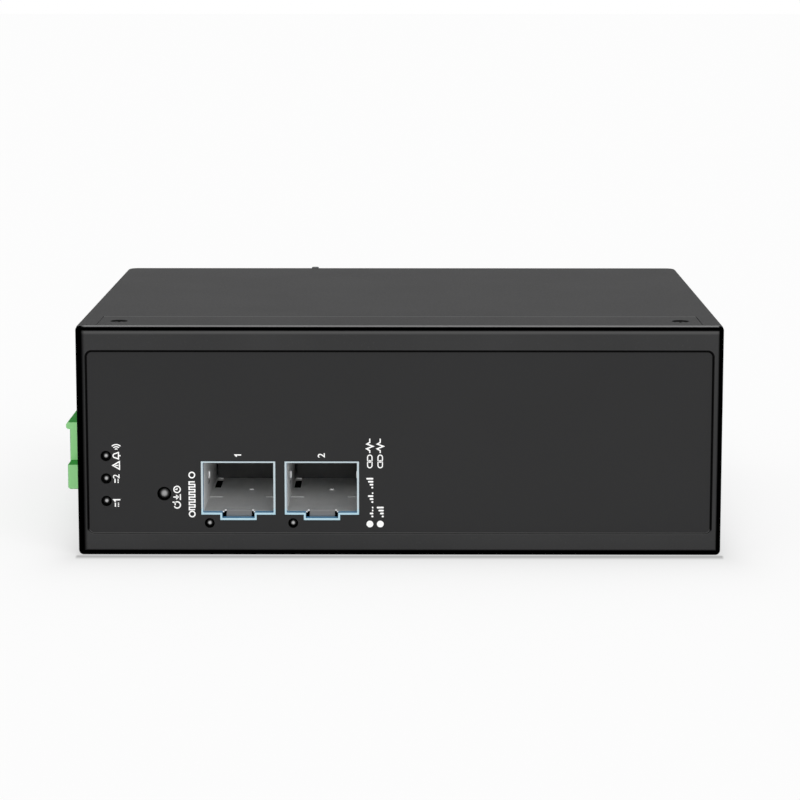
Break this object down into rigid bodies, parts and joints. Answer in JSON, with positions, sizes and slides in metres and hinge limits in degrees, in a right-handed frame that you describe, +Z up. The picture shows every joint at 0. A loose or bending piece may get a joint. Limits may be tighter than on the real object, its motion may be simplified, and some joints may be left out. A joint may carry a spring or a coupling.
{
  "type": "fibre media converter",
  "caption": "DIN-rail fibre media converter in a flat folded steel case, with module slots, status lamps and a reset button in front and a plug-in terminal block on its end.",
  "frame": {"origin": "middle of the case's footprint, on the large side that it lies on", "axes": "+X along the front from the terminal block's end to the plain end, +Y from the front to the rail clip at the back, +Z up, away from the side that it lies on"},
  "size_m": [0.1389, 0.1151, 0.0481],
  "materials": {
    "case_black": "satin black powder coat",
    "label_film": "satin black printed polyester film",
    "collar_blue": "light blue anodised trim",
    "cage_steel": "nickel-plated spring steel",
    "connector_black": "black glass-filled nylon",
    "board_laminate": "green solder-masked laminate",
    "lens_grey": "unlit translucent lens",
    "holder_black": "black moulded nylon",
    "button_grey": "grey moulded plunger",
    "chip_black": "black moulded epoxy",
    "sink_aluminium": "anodised",
    "pad_grey": "soft thermal pad",
    "can_aluminium": "bare can",
    "terminal_green": "green moulded polyamide",
    "clamp_metal": "nickel-plated",
    "screw_zinc": "bright zinc plate",
    "screw_black": "black oxide",
    "pin_tin": "tin plate",
    "clip_zinc": "zinc-plated stamped steel",
    "wire_steel": "spring steel wire"
  },
  "bodies": {
    "case": {"chassis": "case_black", "cover": "case_black", "front_panel": "case_black", "front_label": "label_film", "cover_screws": "screw_black", "port_collar_1": "collar_blue", "port_collar_2": "collar_blue", "module_cage_1": "cage_steel", "module_cage_2": "cage_steel", "module_connector_1": "connector_black", "module_connector_2": "connector_black", "main_board": "board_laminate", "board_posts": "screw_zinc", "board_screws": "screw_zinc", "power_led_1": "lens_grey", "power_led_2": "lens_grey", "alarm_led": "lens_grey", "led_holder": "holder_black", "link_light_pipe_1": "lens_grey", "link_light_pipe_2": "lens_grey", "link_leds": "lens_grey", "reset_switch": "holder_black", "line_chip": "chip_black", "thermal_pad": "pad_grey", "heat_sink": "sink_aluminium", "switch_chip": "chip_black", "crystal": "can_aluminium", "alarm_relay": "chip_black", "input_fuse": "chip_black", "power_module": "chip_black", "power_coils": "chip_black", "bulk_capacitors": "can_aluminium", "terminal_header": "terminal_green", "header_pins": "pin_tin", "ground_washer": "screw_zinc", "ground_screw": "screw_zinc", "ground_nut": "screw_zinc", "rail_clip": "clip_zinc", "clip_screws": "screw_zinc"},
    "reset_plunger": {"reset_plunger": "button_grey"},
    "terminal_plug": {"terminal_plug": "terminal_green", "plug_contacts": "pin_tin"},
    "clip_wire": {"clip_wire": "wire_steel"},
    "wire_clamp_1": {"wire_clamp_1": "clamp_metal"},
    "clamp_screw_1": {"clamp_screw_1": "screw_zinc"},
    "wire_clamp_2": {"wire_clamp_2": "clamp_metal"},
    "clamp_screw_2": {"clamp_screw_2": "screw_zinc"},
    "wire_clamp_3": {"wire_clamp_3": "clamp_metal"},
    "clamp_screw_3": {"clamp_screw_3": "screw_zinc"},
    "wire_clamp_4": {"wire_clamp_4": "clamp_metal"},
    "clamp_screw_4": {"clamp_screw_4": "screw_zinc"},
    "wire_clamp_5": {"wire_clamp_5": "clamp_metal"},
    "clamp_screw_5": {"clamp_screw_5": "screw_zinc"},
    "wire_clamp_6": {"wire_clamp_6": "clamp_metal"},
    "clamp_screw_6": {"clamp_screw_6": "screw_zinc"}
  },
  "joints": [
    {"name": "reset_press", "type": "slide", "parent": "case", "child": "reset_plunger", "axis": [0, 1, 0], "range_m": [0, 0.0003], "stiffness_N_per_m": 800, "springref_m": -0.0015},
    {"name": "plug_pull", "type": "slide", "parent": "case", "child": "terminal_plug", "axis": [-1, 0, 0], "range_m": [0, 0.009]},
    {"name": "wire_flex", "type": "slide", "parent": "case", "child": "clip_wire", "axis": [-1, 0, 0], "range_m": [0, 0.0015], "stiffness_N_per_m": 4000, "springref_m": -0.001},
    {"name": "clamp_turn_1", "type": "hinge", "parent": "terminal_plug", "child": "clamp_screw_1", "pos_m": [-0.0684, -0.01766, 0.02], "axis": [0, 0, 1], "range_deg": [-1447.2, 0]},
    {"name": "clamp_lift_1", "type": "slide", "parent": "terminal_plug", "child": "wire_clamp_1", "axis": [0, 0, 1], "range_m": [0, 0.002]},
    {"name": "clamp_turn_2", "type": "hinge", "parent": "terminal_plug", "child": "clamp_screw_2", "pos_m": [-0.0684, -0.01258, 0.02], "axis": [0, 0, 1], "range_deg": [-1447.2, 0]},
    {"name": "clamp_lift_2", "type": "slide", "parent": "terminal_plug", "child": "wire_clamp_2", "axis": [0, 0, 1], "range_m": [0, 0.002]},
    {"name": "clamp_turn_3", "type": "hinge", "parent": "terminal_plug", "child": "clamp_screw_3", "pos_m": [-0.0684, -0.0075, 0.02], "axis": [0, 0, 1], "range_deg": [-1447.2, 0]},
    {"name": "clamp_lift_3", "type": "slide", "parent": "terminal_plug", "child": "wire_clamp_3", "axis": [0, 0, 1], "range_m": [0, 0.002]},
    {"name": "clamp_turn_4", "type": "hinge", "parent": "terminal_plug", "child": "clamp_screw_4", "pos_m": [-0.0684, -0.00242, 0.02], "axis": [0, 0, 1], "range_deg": [-1447.2, 0]},
    {"name": "clamp_lift_4", "type": "slide", "parent": "terminal_plug", "child": "wire_clamp_4", "axis": [0, 0, 1], "range_m": [0, 0.002]},
    {"name": "clamp_turn_5", "type": "hinge", "parent": "terminal_plug", "child": "clamp_screw_5", "pos_m": [-0.0684, 0.00266, 0.02], "axis": [0, 0, 1], "range_deg": [-1447.2, 0]},
    {"name": "clamp_lift_5", "type": "slide", "parent": "terminal_plug", "child": "wire_clamp_5", "axis": [0, 0, 1], "range_m": [0, 0.002]},
    {"name": "clamp_turn_6", "type": "hinge", "parent": "terminal_plug", "child": "clamp_screw_6", "pos_m": [-0.0684, 0.00774, 0.02], "axis": [0, 0, 1], "range_deg": [-1447.2, 0]},
    {"name": "clamp_lift_6", "type": "slide", "parent": "terminal_plug", "child": "wire_clamp_6", "axis": [0, 0, 1], "range_m": [0, 0.002]}
  ],
  "couplings": [
    {"joint": "clamp_turn_1", "follows": "clamp_lift_1", "rad_per_m": -12566},
    {"joint": "clamp_turn_2", "follows": "clamp_lift_2", "rad_per_m": -12566},
    {"joint": "clamp_turn_3", "follows": "clamp_lift_3", "rad_per_m": -12566},
    {"joint": "clamp_turn_4", "follows": "clamp_lift_4", "rad_per_m": -12566},
    {"joint": "clamp_turn_5", "follows": "clamp_lift_5", "rad_per_m": -12566},
    {"joint": "clamp_turn_6", "follows": "clamp_lift_6", "rad_per_m": -12566}
  ]
}
